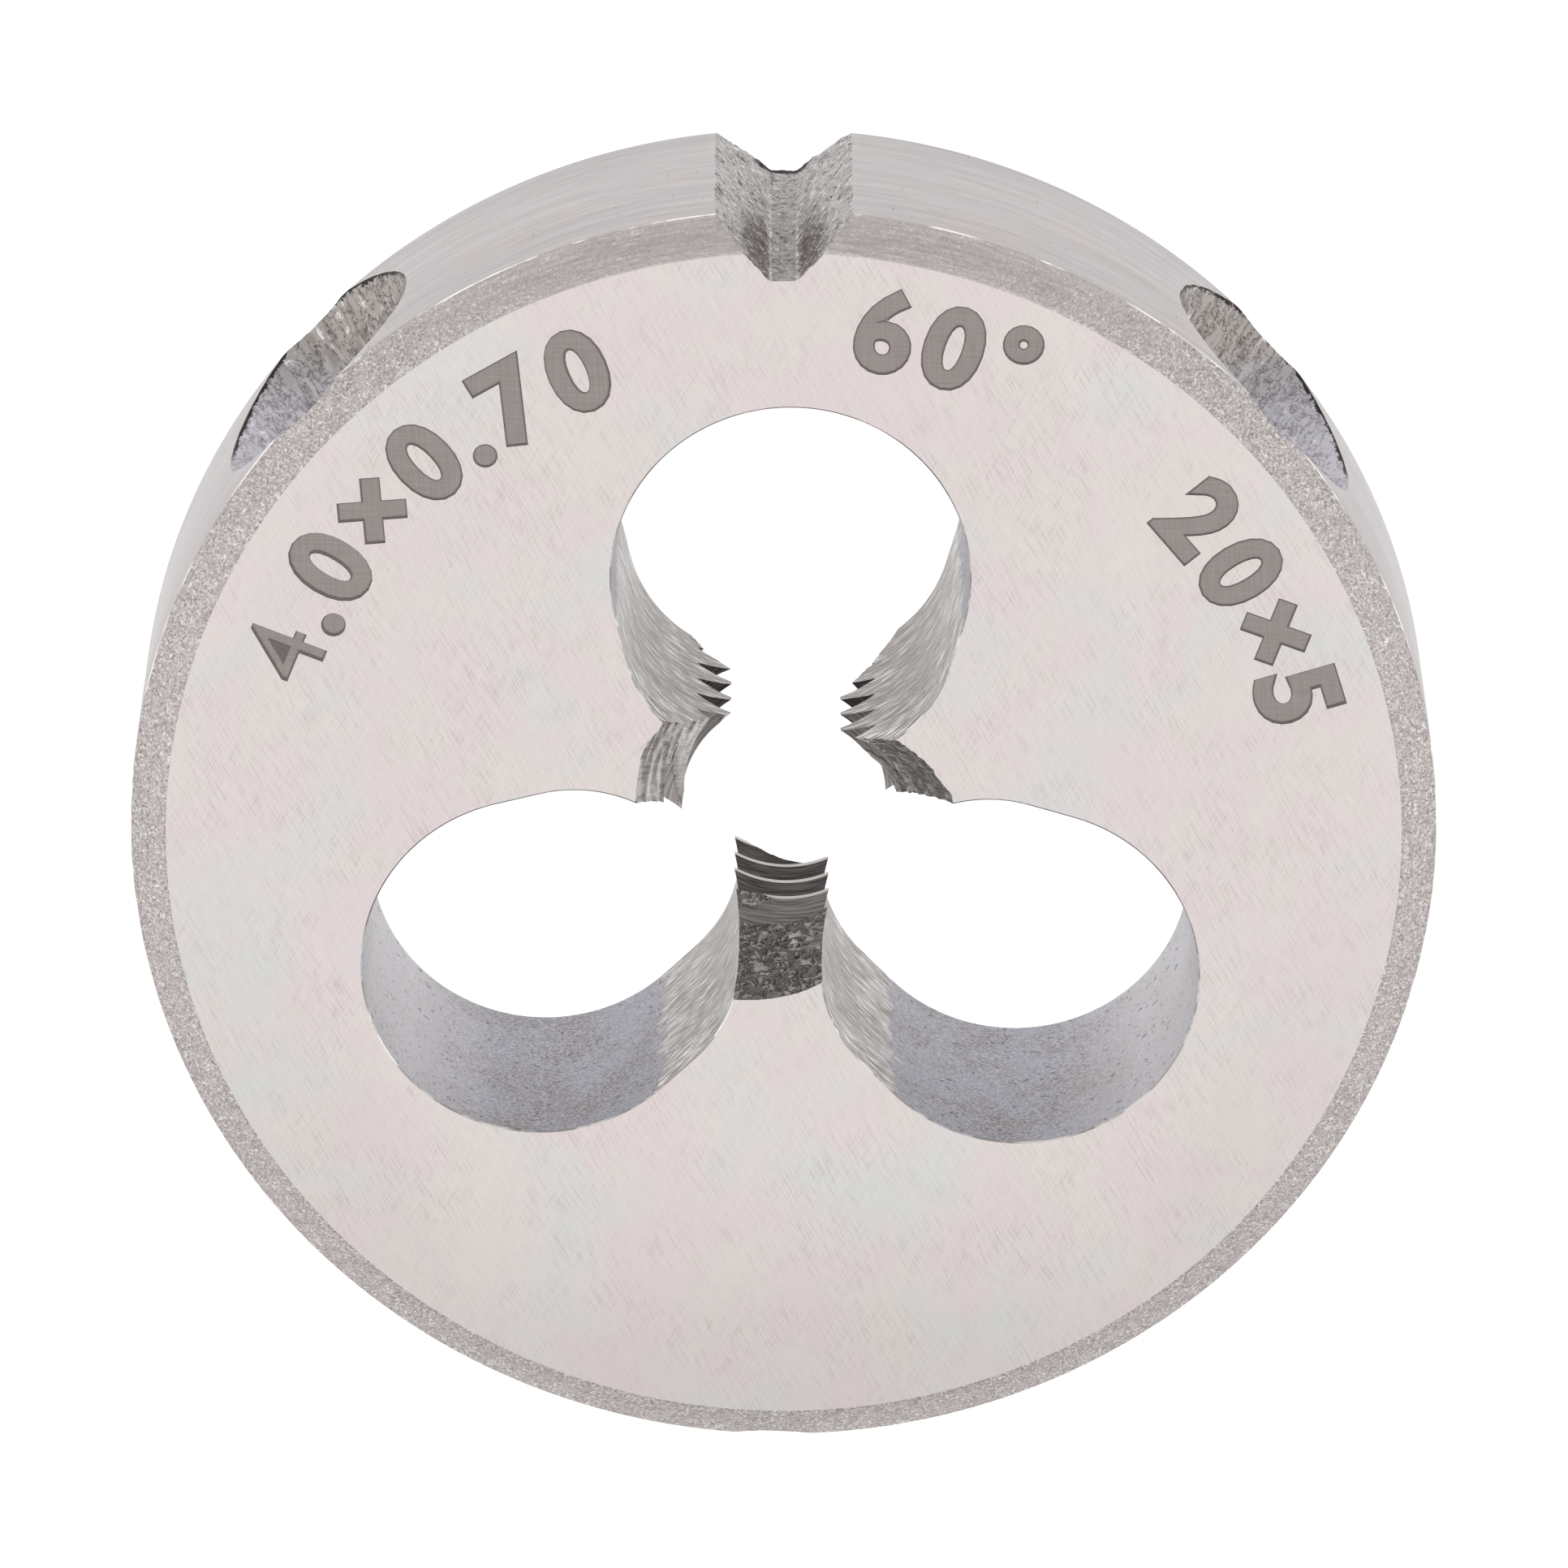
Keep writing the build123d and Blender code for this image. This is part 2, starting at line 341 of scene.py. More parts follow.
    ragged = add(tree, "ShaderNodeMapRange", {
        "Value": grains(tree, 0.35, 0.6, 4.0, 3.0), "To Min": BORE_HALF - 0.55, "To Max": BORE_HALF + 0.45,
    })
    past = add(tree, "ShaderNodeMath", {0: away, 1: ragged}, operation="SUBTRACT")
    hand = add(tree, "ShaderNodeMapRange", {"Value": past, "From Min": -0.03, "From Max": 0.08})
    colour = add(tree, "ShaderNodeMix", {0: hand, 6: bored, 7: ground}, data_type="RGBA")
    rough = add(tree, "ShaderNodeMapRange", {"Value": hand, "To Min": 0.47, "To Max": 0.36})
    bored_height = add(tree, "ShaderNodeMath", {0: speck, 1: 0.006}, operation="MULTIPLY")
    ground_height = add(tree, "ShaderNodeMath", {0: lines, 1: 0.009}, operation="MULTIPLY")
    height = add(tree, "ShaderNodeMix", {0: hand, 2: bored_height, 3: ground_height})
    return colour, height, rough


def lead_torn(tree):
    """Lead-in cut by a worn tool: curled tears painted dark as shade, and painted highlights on a few tips.
    """
    curls = grains(tree, 0.15, 1.1, 5.0)
    # Painted shade: a dark line along each fold of the curls.
    fold = add(tree, "ShaderNodeMath", {0: curls, 1: 0.5}, operation="SUBTRACT")
    fold = add(tree, "ShaderNodeMath", {0: fold}, operation="ABSOLUTE")
    open_up = add(tree, "ShaderNodeMapRange", {"Value": fold, "From Min": 0.004, "From Max": 0.045})
    low = add(tree, "ShaderNodeMapRange", {"Value": curls, "From Min": 0.34, "From Max": 0.60})
    # Painted highlight: the highest curls turn near white.
    painted_tip_highlight = add(tree, "ShaderNodeMapRange", {"Value": curls, "From Min": 0.61, "From Max": 0.72})
    colour = add(tree, "ShaderNodeMix", {0: low, 6: srgb("736e6b"), 7: srgb("bdb8b4")}, data_type="RGBA")
    colour = add(tree, "ShaderNodeMix", {0: open_up, 6: srgb("4b4644"), 7: colour}, data_type="RGBA")
    colour = add(tree, "ShaderNodeMix", {0: painted_tip_highlight, 6: colour, 7: srgb("f0ede9")}, data_type="RGBA")
    height = add(tree, "ShaderNodeMath", {0: curls, 1: 0.07}, operation="MULTIPLY")
    return colour, height, 0.36


def lead_ground(tree):
    """Lead-in cut clean: fine drag lines along the cut over soft grey patches, painted highlights on the
    highest.
    """
    drag = tool_marks(tree, 90, 0.35, 0.030, 2.0)
    cloud = grains(tree, 0.3, 0.8, 4.0, 7.0)
    both = add(tree, "ShaderNodeMath", {0: drag, 1: cloud}, operation="ADD")
    low = add(tree, "ShaderNodeMapRange", {"Value": both, "From Min": 0.74, "From Max": 1.02})
    # Painted highlight where the lines and patches are highest.
    painted_tip_highlight = add(tree, "ShaderNodeMapRange", {"Value": both, "From Min": 1.12, "From Max": 1.30})
    colour = add(tree, "ShaderNodeMix", {0: low, 6: srgb("989290"), 7: srgb("cdc8c5")}, data_type="RGBA")
    colour = add(tree, "ShaderNodeMix", {0: painted_tip_highlight, 6: colour, 7: srgb("f6f4f1")}, data_type="RGBA")
    height = add(tree, "ShaderNodeMath", {0: both, 1: 0.006}, operation="MULTIPLY")
    return colour, height, 0.38


def crest_bright(tree):
    """Narrow crest of each tooth, honed by the stock that it cut."""
    fine = tool_marks(tree, 0, 0.6, 0.03)
    colour = add(tree, "ShaderNodeMix", {0: fine, 6: srgb("8f8986"), 7: srgb("cdc9c6")}, data_type="RGBA")
    height = add(tree, "ShaderNodeMath", {0: fine, 1: 0.002}, operation="MULTIPLY")
    return colour, height, 0.34


def thread_tapped(tree):
    """Tapped flanks: dark drag lines that follow the thread, with painted light on the flanks where the
    first turn starts.
    """
    drag = tool_marks(tree, 0, 0.9, 0.030)
    tone = add(tree, "ShaderNodeMapRange", {"Value": drag, "From Min": 0.36, "From Max": 0.64})
    dull = add(tree, "ShaderNodeMix", {0: tone, 6: srgb("454140"), 7: srgb("7a7472")}, data_type="RGBA")
    # clean is a lighter copy of the flank colour, which the flanks take as painted light
    clean = add(tree, "ShaderNodeMix", {0: tone, 6: srgb("857f7c"), 7: srgb("c2bdba")}, data_type="RGBA")
    place = add(tree, "ShaderNodeTexCoord", output="Object")
    up = add(tree, "ShaderNodeVectorMath", {
        0: place, 1: (0.082, 0.0, 1.0),
    }, output="Value", operation="DOT_PRODUCT")
    # Painted light: flanks nearer the front face than about 2.75 mm take the lighter copy, less of it
    # towards -Y.
    first = add(tree, "ShaderNodeMapRange", {"Value": up, "From Min": 2.73 * MM, "From Max": 2.78 * MM})
    across = add(tree, "ShaderNodeSeparateXYZ", {0: place}, output="Y")
    painted_light_share = add(tree, "ShaderNodeMapRange", {
        "Value": across, "From Min": -1.4 * MM, "From Max": -0.4 * MM, "To Min": 0.42, "To Max": 1.0,
    })
    first = add(tree, "ShaderNodeMath", {0: first, 1: painted_light_share}, operation="MULTIPLY")
    colour = add(tree, "ShaderNodeMix", {0: first, 6: dull, 7: clean}, data_type="RGBA")
    height = add(tree, "ShaderNodeMath", {0: drag, 1: 0.008}, operation="MULTIPLY")
    return colour, height, 0.4


def groove_milled(tree):
    """Milled groove: short torn strokes down both walls, painted highlights on top, darker and browner low
    in the V.
    """
    strokes = tool_marks(tree, 0, 0.24, 0.055, 0.0, 3.0)
    grit = grains(tree, 0.09, 1.5, 2.0)
    both = add(tree, "ShaderNodeMath", {0: strokes, 1: grit}, operation="ADD")
    tone = add(tree, "ShaderNodeMapRange", {"Value": both, "From Min": 0.80, "From Max": 0.97})
    painted_gleam = add(tree, "ShaderNodeMapRange", {"Value": both, "From Min": 1.10, "From Max": 1.24})
    place = add(tree, "ShaderNodeTexCoord", output="Object")
    far = add(tree, "ShaderNodeVectorMath", {
        0: add(tree, "ShaderNodeVectorMath", {
            0: add(tree, "ShaderNodeVectorMath", {0: place}, operation="ABSOLUTE"),
            1: (0.42 * MM, 9.2 * MM, 3.8 * MM),
        }, operation="SUBTRACT"),
        1: (1 / (0.22 * MM), 0.0, 1 / (1.35 * MM)),
    }, operation="MULTIPLY")
    far = add(tree, "ShaderNodeVectorMath", {0: far}, output="Value", operation="LENGTH")
    ragged = add(tree, "ShaderNodeMapRange", {
        "Value": grains(tree, 0.35, 1.0, 4.0, 3.0), "To Min": -0.9, "To Max": 0.9,
    })
    far = add(tree, "ShaderNodeMath", {0: far, 1: ragged}, operation="ADD")
    brown = add(tree, "ShaderNodeMapRange", {"Value": far, "From Min": 1.15, "From Max": 0.55})
    deep = add(tree, "ShaderNodeMix", {0: brown, 6: srgb("696462"), 7: srgb("675e5a")}, data_type="RGBA")
    mid = add(tree, "ShaderNodeMix", {0: brown, 6: srgb("b8b4b3"), 7: srgb("7e7470")}, data_type="RGBA")
    colour = add(tree, "ShaderNodeMix", {0: tone, 6: deep, 7: mid}, data_type="RGBA")
    colour = add(tree, "ShaderNodeMix", {0: painted_gleam, 6: colour, 7: srgb("e9e6e3")}, data_type="RGBA")
    side = add(tree, "ShaderNodeMath", {
        0: add(tree, "ShaderNodeSeparateXYZ", {0: place}, output="X"),
    }, operation="ABSOLUTE")
    bottom = add(tree, "ShaderNodeMapRange", {
        "Value": side, "From Min": GROOVE_FLOOR_HALF * MM, "From Max": (GROOVE_FLOOR_HALF - 0.03) * MM,
        "To Min": 0.0, "To Max": 0.42,
    })
    up = add(tree, "ShaderNodeSeparateXYZ", {0: place}, output="Z")
    front = add(tree, "ShaderNodeMapRange", {
        "Value": up, "From Min": 1.0 * MM, "From Max": 2.4 * MM, "To Min": 0.45, "To Max": 1.0,
    })
    bottom = add(tree, "ShaderNodeMath", {0: bottom, 1: front}, operation="MULTIPLY")
    colour = add(tree, "ShaderNodeMix", {0: bottom, 6: colour, 7: srgb("6f6a68")}, data_type="RGBA")
    # Painted highlight: a thin near-white line along the edges of the floor, in patches, more towards the
    # front.
    floor_edge_highlight = add(tree, "ShaderNodeMath", {
        0: side, 1: (GROOVE_FLOOR_HALF - 0.01) * MM, 2: 0.018 * MM,
    }, operation="COMPARE")
    front = add(tree, "ShaderNodeMapRange", {
        "Value": up, "From Min": 1.6 * MM, "From Max": 2.8 * MM, "To Min": 0.0, "To Max": 0.5,
    })
    floor_edge_highlight = add(tree, "ShaderNodeMath", {0: floor_edge_highlight, 1: front}, operation="MULTIPLY")
    worn = add(tree, "ShaderNodeMapRange", {
        "Value": grains(tree, 0.12, 0.5, 3.0, 6.0), "From Min": 0.42, "From Max": 0.62,
    })
    floor_edge_highlight = add(tree, "ShaderNodeMath", {0: floor_edge_highlight, 1: worn}, operation="MULTIPLY")
    colour = add(tree, "ShaderNodeMix", {0: floor_edge_highlight, 6: colour, 7: srgb("f2efec")}, data_type="RGBA")
    # Painted shade: near black at the back end of the V, close to its middle.
    painted_dark_back_edge = add(tree, "ShaderNodeMapRange", {"Value": up, "From Min": 0.16 * MM, "From Max": 0.10 * MM})
    inner = add(tree, "ShaderNodeMapRange", {"Value": side, "From Min": 0.50 * MM, "From Max": 0.35 * MM})
    painted_dark_back_edge = add(tree, "ShaderNodeMath", {0: painted_dark_back_edge, 1: inner}, operation="MULTIPLY")
    colour = add(tree, "ShaderNodeMix", {0: painted_dark_back_edge, 6: colour, 7: srgb("3a3634")}, data_type="RGBA")
    height = add(tree, "ShaderNodeMath", {0: both, 1: 0.018}, operation="MULTIPLY")
    return colour, height, 0.42


def dimple_drilled(tree):
    """Spot-drilled dimple: crowded folds across it, painted dark along their creases as shade, with
    painted highlights on top; painted shade makes the side towards +Y darker and browner, the other cool
    grey.

    On the back side a ragged near-black line of painted shade runs along the rim.
    """
    folds = tool_marks(tree, 90, 0.60, 0.17, 0.0, 2.0)
    worms = grains(tree, 0.17, 1.6, 2.0)
    wave = add(tree, "ShaderNodeMix", {0: 0.35, 2: folds, 3: worms})
    crease = add(tree, "ShaderNodeMath", {0: wave, 1: 0.5}, operation="SUBTRACT")
    crease = add(tree, "ShaderNodeMath", {0: crease}, operation="ABSOLUTE")
    # Painted shade: dark along the creases of the folds.
    open_up = add(tree, "ShaderNodeMapRange", {"Value": crease, "From Min": 0.003, "From Max": 0.040})
    painted_gleam = add(tree, "ShaderNodeMapRange", {"Value": wave, "From Min": 0.60, "From Max": 0.68})
    speck = add(tree, "ShaderNodeMapRange", {
        "Value": grains(tree, 0.05, 0.5, 2.0), "From Min": 0.40, "From Max": 0.60,
        "To Min": 0.0, "To Max": 0.5,
    })
    place = add(tree, "ShaderNodeTexCoord", output="Object")
    across = add(tree, "ShaderNodeSeparateXYZ", {0: place}, output="Y")
    # Painted shade: the side of each dimple towards +Y is darker and browner than the cool grey side.
    painted_shade_towards_y = add(tree, "ShaderNodeMapRange", {"Value": across, "From Min": 5.6 * MM, "From Max": 6.6 * MM})
    mid = add(tree, "ShaderNodeMix", {0: painted_shade_towards_y, 6: srgb("bdbac2"), 7: srgb("aea7a3")}, data_type="RGBA")
    deep = add(tree, "ShaderNodeMix", {0: painted_shade_towards_y, 6: srgb("857f82"), 7: srgb("605955")}, data_type="RGBA")
    colour = add(tree, "ShaderNodeMix", {0: open_up, 6: deep, 7: mid}, data_type="RGBA")
    colour = add(tree, "ShaderNodeMix", {0: speck, 6: colour, 7: mid}, data_type="RGBA")
    colour = add(tree, "ShaderNodeMix", {0: painted_gleam, 6: colour, 7: srgb("f0edea")}, data_type="RGBA")

    # Painted shade: a ragged near-black line along the rim on the back side.
    flat = add(tree, "ShaderNodeVectorMath", {0: place, 1: (1.0, 1.0, 0.0)}, operation="MULTIPLY")
    from_axis = add(tree, "ShaderNodeVectorMath", {0: flat}, output="Value", operation="LENGTH")
    ragged = add(tree, "ShaderNodeMapRange", {
        "Value": grains(tree, 0.15, 1.0, 3.0, 2.0),
        "To Min": (RIM_R + 0.06) * MM, "To Max": (RIM_R - 0.14) * MM,
    })
    painted_dark_back_edge = add(tree, "ShaderNodeMath", {0: from_axis, 1: ragged}, operation="SUBTRACT")
    painted_dark_back_edge = add(tree, "ShaderNodeMapRange", {"Value": painted_dark_back_edge, "From Min": -0.01 * MM, "From Max": 0.01 * MM})
    low_side = add(tree, "ShaderNodeMapRange", {
        "Value": add(tree, "ShaderNodeSeparateXYZ", {0: place}, output="Z"),
        "From Min": 0.52 * THICK * MM, "From Max": 0.42 * THICK * MM,
    })
    painted_dark_back_edge = add(tree, "ShaderNodeMath", {0: painted_dark_back_edge, 1: low_side}, operation="MULTIPLY")
    colour = add(tree, "ShaderNodeMix", {0: painted_dark_back_edge, 6: colour, 7: srgb("3a3634")}, data_type="RGBA")
    height = add(tree, "ShaderNodeMath", {0: wave, 1: 0.03}, operation="MULTIPLY")
    return colour, height, 0.42


def mark_etched(tree):
    """Etched number: even dull grey with a faint weave of grinding lines."""
    lines = tool_marks(tree, 2, 0.9, 0.035, 2.0)
    cross = tool_marks(tree, 88, 0.9, 0.035, 4.0)
    both = add(tree, "ShaderNodeMath", {0: lines, 1: cross}, operation="ADD")
    tone = add(tree, "ShaderNodeMapRange", {"Value": both, "From Min": 0.75, "From Max": 1.25})
    colour = add(tree, "ShaderNodeMix", {0: tone, 6: srgb("988f8c"), 7: srgb("a59d9a")}, data_type="RGBA")
    height = add(tree, "ShaderNodeMath", {0: both, 1: 0.002}, operation="MULTIPLY")
    return colour, height, 0.45


def mark_edge(tree):
    """Sloped edge of a number, painted darker than its floor as shade along the number's edge."""
    tone = grains(tree, 0.05)
    colour = add(tree, "ShaderNodeMix", {0: tone, 6: srgb("6c6461"), 7: srgb("857c79")}, data_type="RGBA")
    height = add(tree, "ShaderNodeMath", {0: tone, 1: 0.002}, operation="MULTIPLY")
    return colour, height, 0.45


FINISHES = {
    "face": ("surface_ground_steel", surface_ground),
    "chamfer": ("scaled_turned_steel", chamfer_scaled),
    "edge": ("burnished_edge_steel_painted_highlight", edge_burnished_painted_highlight),
    "rim": ("cylindrically_ground_steel", rim_ground),
    "hole": ("bored_and_hardened_steel", chip_hole_finish),
    "lead": ("torn_lead_in_steel", lead_torn),
    "lead_clean": ("clean_lead_in_steel", lead_ground),
    "crest": ("honed_crest_steel", crest_bright),
    "thread": ("tapped_steel", thread_tapped),
    "groove": ("milled_groove_steel", groove_milled),
    "dimple": ("spot_drilled_steel", dimple_drilled),
    "mark": ("etched_steel", mark_etched),
    "mark_edge": ("etched_edge_steel", mark_edge),
}
ZONE = {zone: index for index, zone in enumerate(FINISHES)}
materials = [steel(name, finish) for name, finish in FINISHES.values()]


# ---------------------------------------------------------------- meshes
def skin(name, rings, zone_of, uv_of=None):
    """Closed skin through rings of points, with a flat cap on the first and last ring.

    zone_of(j, i) names the finish of side i between ring j and j + 1, and j is -1 for a cap;
    uv_of(j, i) gives a point's place along the surface in mm.
    """
    count = len(rings[0])
    points = [p for ring in rings for p in ring]
    faces = []
    zones = []
    spots = []
    for j in range(len(rings) - 1):
        for i in range(count):
            k = (i + 1) % count
            faces.append((j * count + i, j * count + k, (j + 1) * count + k, (j + 1) * count + i))
            zones.append(ZONE[zone_of(j, i)])
            if uv_of:
                spots += [uv_of(j, i), uv_of(j, i + 1), uv_of(j + 1, i + 1), uv_of(j + 1, i)]
            else:
                spots += [points[n][:2] for n in faces[-1]]
    last = (len(rings) - 1) * count
    for cap in ([*range(count)][::-1], [last + i for i in range(count)]):
        faces.append(tuple(cap))
        zones.append(ZONE[zone_of(-1, 0)])
        spots += [points[n][:2] for n in cap]
    centre = sum((Vector(p) for p in points), Vector()) / len(points)
    inward = 0.0
    for face in faces:
        a, b, c = (Vector(points[face[n]]) - centre for n in (0, 1, 2))
        inward -= a.dot(b.cross(c))
    mesh = bpy.data.meshes.new(name)
    mesh.from_pydata(points, [], faces)
    for material in materials:
        mesh.materials.append(material)
    mesh.polygons.foreach_set("material_index", zones)
    work = mesh.uv_layers.new(name="work")
    work.data.foreach_set("uv", [x for spot in spots for x in spot])
    if inward > 0:
        mesh.flip_normals()
    mesh.update()
    made = bpy.data.objects.new(name, mesh)
    bpy.context.scene.collection.objects.link(made)
    return made


def cut(die, tool, crossing=False):
    """Cuts the die with a tool and takes the tool away; crossing allows one that runs through itself."""
    step = die.modifiers.new("cut", "BOOLEAN")
    step.operation = "DIFFERENCE"
    step.solver = "EXACT"
    step.use_self = crossing
    step.material_mode = "INDEX"
    step.object = tool
    done = bpy.data.meshes.new_from_object(die.evaluated_get(bpy.context.evaluated_depsgraph_get()))
    die.modifiers.clear()
    die.data = done
    bpy.data.objects.remove(tool)


def circle(r, z, count, x=0.0, y=0.0):
    """Ring of points round an upright axis at x, y."""
    turns = [2 * math.pi * i / count for i in range(count)]
    return [(x + r * math.cos(a), y + r * math.sin(a), z) for a in turns]


def blank():
    """Turned and ground disc, chamfered at both rim edges, every edge just broken."""
    inner = RIM_R - CHAMFER_RADIAL
    e = EDGE_BREAK
    profile = [
        (inner - e, 0.0), (inner + e * 0.6, e * 0.5),
        (RIM_R - e * 0.5, CHAMFER_AXIAL - e * 0.5), (RIM_R, CHAMFER_AXIAL + e),
    ]
    outline = profile + [(r, THICK - z) for r, z in profile[::-1]]
    zones = ["chamfer", "chamfer", "edge", "rim", "edge", "chamfer", "chamfer"]
    count = 360
    rings = [circle(r, z, count) for r, z in outline]
    return skin(
        "round_die_skin", rings,
        lambda j, i: zones[j] if j >= 0 else "face",
        lambda j, i: (RIM_R * 2 * math.pi * i / count, outline[j][1]),
    )


def arc(x, y, r, start, end, count):
    """Points on an arc between two angles in radians, both ends included."""
    turns = [start + (end - start) * i / count for i in range(count + 1)]
    return [(x + r * math.cos(a), y + r * math.sin(a)) for a in turns]


def chip_hole_outline(grow):
    """Main bore and the two cutting-edge arcs, joined by tangents."""
    right = arc(RAKE_OFF, RAKE_POS, RAKE_R + grow, rake_low(grow), RAKE_TANGENT, 48)
    top = arc(0.0, FLUTE_POS, FLUTE_R + grow, RAKE_TANGENT, math.pi - RAKE_TANGENT, 110)
    left = [(-x, y) for x, y in right[::-1]]
    return right + top + left[:-1]


def chip_hole_tool(k):
    """Straight chip hole, flared a hair where it leaves each face."""
    turn = FLUTE_TURN + 2 * math.pi / FLUTES * k
    e = EDGE_BREAK
    heights = [(-e, 2 * e), (e, 0.0), (THICK - e, 0.0), (THICK + e, 2 * e)]
    rings = []
    for z, grow in heights:
        rings.append([
            (x * math.cos(turn) - y * math.sin(turn), x * math.sin(turn) + y * math.cos(turn), z)
            for x, y in chip_hole_outline(grow)
        ])
    along = [0.0]
    for a, b in zip(rings[1], rings[1][1:] + rings[1][:1]):
        along.append(along[-1] + math.dist(a, b))
    return skin(
        "chip_hole_tool", rings, lambda j, i: "hole" if j == 1 else "edge",
        lambda j, i: (along[i] - along[-1] / 2, heights[j][0] + 7 * k),
    )


def spaced(low, high, step):
    """Evenly spaced values from low to high, about a step apart."""
    parts = max(1, round((high - low) / step))
    return [low + (high - low) * i / parts for i in range(parts + 1)]


def torn(place, size, depth):
    """Height of torn metal at a place, in mm, either way of zero."""
    return depth * noise.fractal(Vector(place) / size, 0.6, 2.1, 4)


def bore_tool():
    """Thread core, which leaves the crests of the teeth."""
    count = 240
    rings = [circle(CREST_R, z, count) for z in (-0.2, THICK + 0.2)]
    return skin(
        "bore_tool", rings, lambda j, i: "crest",
        lambda j, i: (CREST_R * 2 * math.pi * i / count, 5.0 * j),
    )


def lead_in_tool(k, front):
    """Lead-in cone of one land, eccentric so that the land falls away behind its cutting edge."""
    land = FLUTE_TURN + math.pi / 6 + 2 * math.pi / FLUTES * k
    behind = land + math.radians(-60 if front else 60)
    turns = spaced(-LAND_REACH, -LAND_TEETH, 6)
    turns += spaced(-LAND_TEETH, LAND_TEETH, 0.9)[1:]
    turns += spaced(LAND_TEETH, LAND_REACH, 6)[1:]
    turns = [land + math.radians(a) for a in turns]
    face_r = FRONT_LEAD_R if front else BACK_LEAD_R
    depths = [-0.2] + spaced(0.0, (face_r - 0.95) / LEAD_SLOPE, TORN_STEP)
    rings = []
    for depth in depths:
        r = face_r - depth * LEAD_SLOPE
        z = THICK - depth if front else depth
        ring = [(0.0, 0.0, z)]
        for a in turns:
            off = LEAD_OFFSET * math.sin(a - behind)
            reach = LEAD_OFFSET * math.cos(a - behind) + math.sqrt(r * r - off * off)
            tear = torn((reach * a * 0.8, z * 1.1, 9.0 + k), 0.15, 0.050 if k == WORN_LAND else 0.032)
            reach += tear * min(1.0, max(0.2, (reach - 1.75) / 0.15))
            ring.append((reach * math.cos(a), reach * math.sin(a), z))
        rings.append(ring)
    return skin(
        "lead_in_tool", rings, lambda j, i: "lead" if k == WORN_LAND else "lead_clean",
        lambda j, i: (2.0 * turns[(i - 1) % len(turns)], 1.15 * depths[j]),
    )


def thread_tool():
    """One long helical ridge with the form of the thread, right hand."""
    r_in = CREST_R - 0.08
    r_out = THREAD_MAJOR / 2 + (PITCH / 8 - THREAD_ROOT) / 2 / FLANK_SLOPE
    half_out = THREAD_ROOT / 2
    half_in = half_out + (r_out - r_in) * FLANK_SLOPE
    flank = spaced(0.0, 1.0, 0.2)
    form = [(r_in + (r_out - r_in) * t, -half_in + (half_in - half_out) * t) for t in flank]
    form += [(r, -z) for r, z in form[::-1]]
    steps = 120
    rings = []
    for n in range(-2 * steps, 6 * steps + 1):
        a = 2 * math.pi * n / steps
        rise = THREAD_RISE + PITCH * n / steps
        rings.append([(r * math.cos(a), r * math.sin(a), rise + z) for r, z in form])
    return skin(
        "thread_tool", rings, lambda j, i: "thread",
        lambda j, i: (2 * math.pi * (THREAD_MAJOR / 2) * j / steps, 0.1 * i),
    )


def groove_tool():
    """V tool of the adjusting groove, rounded at the floor, with the strokes of rough milling."""
    heights = spaced(-0.3, THICK + 0.3, TORN_STEP)
    top = RIM_R + 0.6
    y_rim = math.sqrt(RIM_R ** 2 - GROOVE_HALF ** 2)
    rings = []
    for z in heights:
        depth = GROOVE_DEPTH_BACK + (GROOVE_DEPTH_FRONT - GROOVE_DEPTH_BACK) * z / THICK
        y_floor = RIM_R - depth
        steep = (y_rim - y_floor) / (GROOVE_HALF - GROOVE_FLOOR_HALF)
        half_top = GROOVE_FLOOR_HALF + (top - y_floor) / steep
        ring = []
        for t in spaced(-1.0, 1.0, 0.024):
            x = half_top * t
            rise = (abs(x) - GROOVE_FLOOR_HALF) * steep
            rise = (rise + math.hypot(rise, 0.03)) / 2
            stroke = torn((rise * 0.8 + z * 1.3, rise * 1.6 - z * 0.5, x * 0.3), 0.20, 0.035)
            ring.append((x, y_floor + rise + stroke, z))
        rings.append(ring)
    width = len(rings[0])
    return skin(
        "groove_tool", rings, lambda j, i: "groove",
        lambda j, i: groove_spot(abs(i - (width - 1) / 2) * 0.055, heights[j]),
    )


def groove_spot(across, z):
    """Place on the groove in mm, turned so that the strokes fall towards its floor and its front."""
    turn = math.radians(38)
    return (
        across * math.cos(turn) - z * math.sin(turn),
        across * math.sin(turn) + z * math.cos(turn),
    )


def dimple_tool(angle):
    """Cone of a holding dimple, with the folds of a dull spot drill."""
    depth = DIMPLE_R + 0.5
    radial = Vector((-math.sin(math.radians(angle)), math.cos(math.radians(angle)), 0))
    side = Vector((radial.y, -radial.x, 0))
    apex = radial * (RIM_R - DIMPLE_R) + Vector((0, 0, THICK / 2))
    count = 200
    rings = []
    reaches = spaced(0.02, depth, 0.06)
    for reach in reaches:
        ring = []
        for i in range(count):
            a = 2 * math.pi * i / count
            out = side * math.cos(a) + Vector((0, 0, 1)) * math.sin(a)
            place = apex + radial * reach + out * reach
            fold = torn(Vector((place.dot(side) * 2.2, place.z * 0.7, angle)), 0.25, 0.040)
            calm = min(1.0, max(0.3, (RIM_R - place.xy.length) / 0.4))
            ring.append(place + (radial - out) * (fold * min(1.0, reach) * calm))
        rings.append(ring)
    return skin(
        "dimple_tool", rings, lambda j, i: "dimple",
        lambda j, i: (
            reaches[j] * math.cos(2 * math.pi * i / count) + angle,
            reaches[j] * math.sin(2 * math.pi * i / count),
        ),
    )


